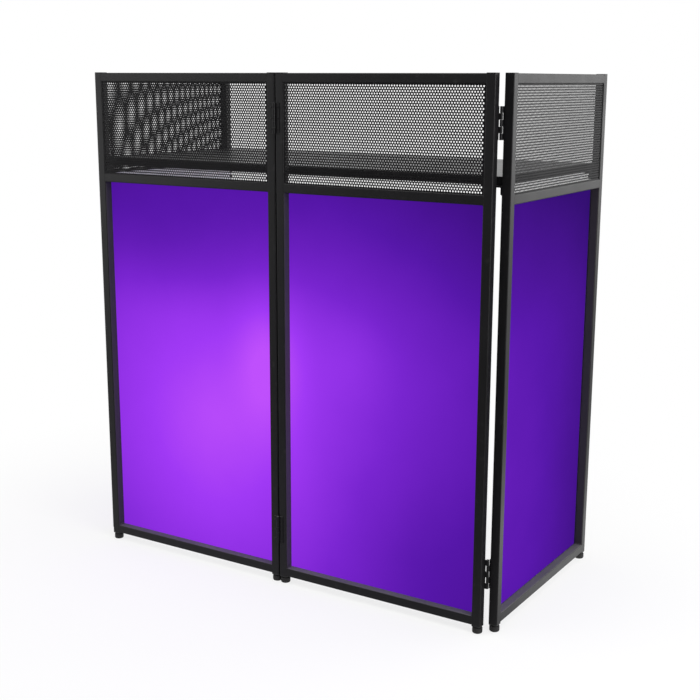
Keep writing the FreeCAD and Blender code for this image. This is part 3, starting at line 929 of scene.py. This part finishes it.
def rivet_shape():
    """A blind rivet's domed head on z = 0, with the broken mandrel's dimple."""
    crown_share, crown_height_share, shoulder_height_share = 0.6, 0.9, 0.35
    return turned_shape([
        (0, RIVET_HEIGHT - MANDREL_DEPTH),
        (MANDREL_RADIUS, RIVET_HEIGHT - MANDREL_DEPTH),
        (MANDREL_RADIUS, RIVET_HEIGHT),
        (RIVET_RADIUS * crown_share, RIVET_HEIGHT * crown_height_share),
        (RIVET_RADIUS, RIVET_HEIGHT * shoulder_height_share),
        (RIVET_RADIUS, 0),
        (0, 0),
    ], RIVET_STEPS)


def rivet_row(height):
    """The heads of a leaf's rivets, in the leaf's own axes."""
    rivet = rivet_shape()
    middle = (LEAF_START + LEAF_REACH) / 2
    row = bmesh.new()
    for share in RIVET_SHARES:
        spot = Matrix.Translation((middle, LEAF_OFFSET - LEAF_THICKNESS, share * height))
        stamp(row, rivet, spot @ UPRIGHT)
    return row


def pin_shape(radius, height):
    profile = [(0, 0), (radius, 0), (radius, height), (0, height)]
    return turned_shape(profile, PIN_STEPS, {1: PIN_EDGE, 2: PIN_EDGE})


def make_hinges(rivets):
    """Every hinge's leaves and pin; the heads of its rivets are added to their panels' rivets."""
    joints = {joint["name"]: joint for joint in frame["joints"]}
    for edge, (joint, leaves) in HINGES.items():
        axis_x, axis_y, _ = joints[joint]["pos_m"]
        for level, knuckles in KNUCKLE_ORDER.items():
            hinge = f"{edge}_{level}"
            pin_low, pin_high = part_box(f"{hinge}_pin")
            height = pin_high.z - pin_low.z
            for own_knuckles, (panel, turn, turned_over) in zip(knuckles, leaves):
                end = Vector((axis_x, axis_y, pin_high.z if turned_over else pin_low.z))
                place = Matrix.Translation(end) @ Matrix.Rotation(math.radians(turn), 4, "Z")
                if turned_over:
                    place = place @ Matrix.Rotation(HALF_TURN, 4, "Y")
                leaf = leaf_shape(own_knuckles, height)
                node = f"{hinge}_leaf_{panel}"
                make_piece(f"{hinge}_plate_{panel}", leaf, panel, "powder_coat", [node], place)
                stamp(rivets[panel], rivet_row(height), place)
            swung = leaves[1][0]
            pin = pin_shape((pin_high.x - pin_low.x) / 2, height)
            place = Matrix.Translation((axis_x, axis_y, pin_low.z))
            make_piece(f"{hinge}_hinge_pin", pin, swung, "pin_steel", [f"{hinge}_pin"], place)


# Table

BRACKET_THICKNESS = 3 * MM
BRACKET_EDGE = 0.4 * MM
BRACKET_CORNER = 4 * MM
BRACKET_CORNER_SEGMENTS = 5
BEND_RADIUS = 1.5 * MM
BEND_SEGMENTS = 8
BOARD_EDGE = 0.15 * MM
BOARD_EDGE_SEGMENTS = 1
BAND_THICKNESS = 1 * MM
BAND_EDGE = 0.45 * MM
BAND_EDGE_SEGMENTS = 3


def bracket_shape(low, high):
    """A strip of steel bent once: one leg on the post's inner face, and a shelf under the table."""
    strip = bmesh.new()
    ends = [strip.verts.new((x, low.y, low.z)) for x in (low.x, high.x)]
    edge = strip.edges.new(ends)
    for y in (low.y, high.y):
        grown = bmesh.ops.extrude_edge_only(strip, edges=[edge])["geom"]
        edge = next(part for part in grown if isinstance(part, bmesh.types.BMEdge))
        for point in edge.verts:
            point.co.y, point.co.z = y, high.z
    bend = [edge for edge in strip.edges if len(edge.link_faces) == 2]
    soften(strip, bend, BEND_RADIUS + BRACKET_THICKNESS, BEND_SEGMENTS)
    bmesh.ops.recalc_face_normals(strip, faces=strip.faces[:])
    strip.normal_update()
    shelf = max(strip.faces, key=lambda face: face.calc_center_median().y)
    if shelf.normal.z < 0:
        bmesh.ops.reverse_faces(strip, faces=strip.faces[:])
        strip.normal_update()
    bmesh.ops.solidify(strip, geom=strip.faces[:], thickness=BRACKET_THICKNESS)
    strip.normal_update()
    corners = [
        edge for edge in edges_along(strip, UPWARDS)
        if all(point.co.y > high.y - MERGE for point in edge.verts)
    ]
    soften(strip, corners, BRACKET_CORNER, BRACKET_CORNER_SEGMENTS)
    soften(strip, sharp_edges(strip), BRACKET_EDGE, EDGE_SEGMENTS)
    return strip


def make_brackets(panel, nodes):
    for node in nodes:
        low, high = panel.box(node)
        shape = bracket_shape(low, high)
        name = node.replace("table_bracket", "shelf_bracket")
        make_piece(name, shape, panel.name, "powder_coat", [node], panel.place)


def band_shape(low, high):
    return box_shape(low, high, BAND_EDGE, BAND_EDGE_SEGMENTS)


def make_table():
    """The laminated board and the banding on its edges."""
    low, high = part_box("table_board")
    board = box_shape(low, high, BOARD_EDGE, BOARD_EDGE_SEGMENTS)
    make_piece("table_top", board, "table", "table_laminate", ["table_board"])
    low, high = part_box("table_edge_band")
    bands = bmesh.new()
    for y in (low.y, high.y - BAND_THICKNESS):
        stamp(bands, band_shape((low.x, y, low.z), (high.x, y + BAND_THICKNESS, high.z)))
    for x in (low.x, high.x - BAND_THICKNESS):
        start = (x, low.y + BAND_THICKNESS, low.z)
        stamp(bands, band_shape(start, (x + BAND_THICKNESS, high.y - BAND_THICKNESS, high.z)))
    make_piece("table_banding", bands, "table", "edge_band", ["table_edge_band"])


# Stage

CAMERA_PLACE = (1.5385, -2.4130, 1.1436)
CAMERA_AZIMUTH = math.radians(32.034)
CAMERA_PITCH = math.radians(12.588)
CAMERA_ROLL = math.radians(0.22)
CAMERA_LENS = 62.383
WHITE = (1, 1, 1, 1)
AMBIENT_SHARE = 0.6
FLOOR_COLOUR = (0.9, 0.9, 0.9, 1)
FLOOR_ROUGHNESS = 0.9
FLOOR_SHINE = 0.1
FLOOR_SIZE = 30
FLOOR_DROP = 0.2 * MM
FLOOR_GLOW_SHARE = 0.76
SHADOW_REACH = (0.6, 1.5)
ROOM_DIM_SHARE = 0.15
# A direction, how far along it the room is still dim, and from where it is white
DIM_DIRECTIONS = ((0, 1, 0), -0.86, -0.5)
DIM_FLOOR = ((-0.7, 1, 0), -0.95, -0.1)
# What shiny faces see of the floor: an even level, and a painted pool of light with its centre and size
FLOOR_LEVEL = 0.65
FLOOR_LIGHT_POOL = ((0.8, 0.1, 0), (0.28, 0.7, 1))
FLOOR_LIGHT_POOL_RISE = 2.3
# Each softbox's place, what it faces, its width and height, and its power in watts
SOFTBOXES = {
    "key_softbox": ((2.3, 2.6, 1.5), (0.5, 0, 0.7), (2.6, 2.2), 35),
    "top_softbox": ((0.2, -0.6, 3.4), (0, 0, 0.5), (3, 2.4), 50),
    "fill_softbox": ((-3.1, -2.5, 1.2), (-0.4, -0.2, 0.6), (1.6, 2.2), 26),
    "side_softbox": ((3.3, -0.9, 1.3), (0.3, -0.1, 0.5), (1.6, 2.0), 55),
}


def rays(tree):
    """Two wires: 1 for rays from the camera or through clear surfaces, and 1 for those from shiny ones."""
    camera, clear, shiny = [
        tree.node("ShaderNodeLightPath", output=name)
        for name in ("Is Camera Ray", "Is Transmission Ray", "Is Glossy Ray")
    ]
    return camera.math("MAXIMUM", clear), shiny


def room_level(tree, place, towards, dim, white):
    """The room's brightness: white round the booth, and dim in front of it."""
    inputs = {0: place, 1: towards}
    along = tree.node("ShaderNodeVectorMath", {"operation": "DOT_PRODUCT"}, inputs, output="Value")
    return tree.rise(along, dim, white, start=ROOM_DIM_SHARE)


def make_world():
    """A white room, dim in front of the booth, that lights it at a plain level."""
    world = bpy.data.worlds.new("studio")
    world.use_nodes = True
    bpy.context.scene.world = world
    tree = Tree(world.node_tree)
    background = tree.tree.nodes["Background"]
    direct, shiny = rays(tree)
    room = room_level(tree, tree.node("ShaderNodeTexCoord", output="Generated"), *DIM_DIRECTIONS)
    strength = direct + (1 - direct) * room * shiny.between(AMBIENT_SHARE, 1)
    tree.feed(background, {"Color": WHITE, "Strength": strength})


def make_floor():
    """A pale floor that keeps the booth's soft shadow and fades into the white backdrop."""
    surface = Finish("floor")
    surface.set(Base_Color=FLOOR_COLOUR, Roughness=FLOOR_ROUGHNESS, Specular_IOR_Level=FLOOR_SHINE)
    plain = Wire(surface, surface.shader.outputs[0])
    place = surface.object_coordinates()
    direct, shiny = rays(surface)
    # A painted pool of light on the floor, seen only in shiny faces
    level = surface.soft_spot(place, *FLOOR_LIGHT_POOL) * FLOOR_LIGHT_POOL_RISE + FLOOR_LEVEL
    strength = direct + shiny * level * room_level(surface, place, *DIM_FLOOR)
    white = surface.node("ShaderNodeEmission", None, {"Color": WHITE, "Strength": strength})
    away = surface.node("ShaderNodeVectorMath", {"operation": "LENGTH"}, {0: place}, output="Value")
    glow = surface.rise(away, *SHADOW_REACH, start=FLOOR_GLOW_SHARE)
    inputs = {0: (direct + shiny) * glow, 1: plain, 2: white}
    mixed = surface.node("ShaderNodeMixShader", None, inputs)
    surface.feed(surface.tree.nodes["Material Output"], {"Surface": mixed})
    shape = bmesh.new()
    bmesh.ops.create_grid(shape, x_segments=1, y_segments=1, size=FLOOR_SIZE / 2)
    bmesh.ops.translate(shape, verts=shape.verts[:], vec=(0, 0, -FLOOR_DROP))
    mesh = bpy.data.meshes.new("floor")
    shape.to_mesh(mesh)
    shape.free()
    mesh.materials.append(surface.material)
    floor = bpy.data.objects.new("floor", mesh)
    bpy.context.scene.collection.objects.link(floor)


def make_lights():
    for name, (place, target, size, power) in SOFTBOXES.items():
        light = bpy.data.lights.new(name, "AREA")
        light.shape = "RECTANGLE"
        light.size, light.size_y = size
        light.energy = power
        softbox = bpy.data.objects.new(name, light)
        softbox.location = place
        softbox.rotation_euler = (Vector(target) - Vector(place)).to_track_quat("-Z", "Y").to_euler()
        bpy.context.scene.collection.objects.link(softbox)


def make_camera():
    data = bpy.data.cameras.new("camera")
    data.lens = CAMERA_LENS
    camera = bpy.data.objects.new("camera", data)
    turn = Matrix.Rotation(CAMERA_AZIMUTH, 4, "Z")
    tilt = Matrix.Rotation(QUARTER_TURN - CAMERA_PITCH, 4, "X")
    roll = Matrix.Rotation(CAMERA_ROLL, 4, "Z")
    camera.matrix_world = Matrix.Translation(CAMERA_PLACE) @ turn @ tilt @ roll
    bpy.context.scene.collection.objects.link(camera)
    bpy.context.scene.camera = camera


def main():
    panels = {name: Panel(name, turn) for name, turn in PANEL_TURNS.items()}
    brackets = {
        f"{side}_side": [f"{side}_{end}_table_bracket" for end in ("front", "rear")]
        for side in ("left", "right")
    }
    for name, panel in panels.items():
        make_frame(panel)
        make_welds(panel, brackets.get(name, []))
        make_grille(panel)
        make_fabric(panel, make_tape(panel))
        make_post_ends(panel)
        make_brackets(panel, brackets.get(name, []))
    rivets = {name: bmesh.new() for name in panels}
    make_hinges(rivets)
    for name, shape in rivets.items():
        make_piece(f"{name}_hinge_rivets", shape, name, "powder_coat")
    make_table()
    make_world()
    make_floor()
    make_lights()
    make_camera()
    bpy.context.scene.view_settings.view_transform = "Standard"


main()
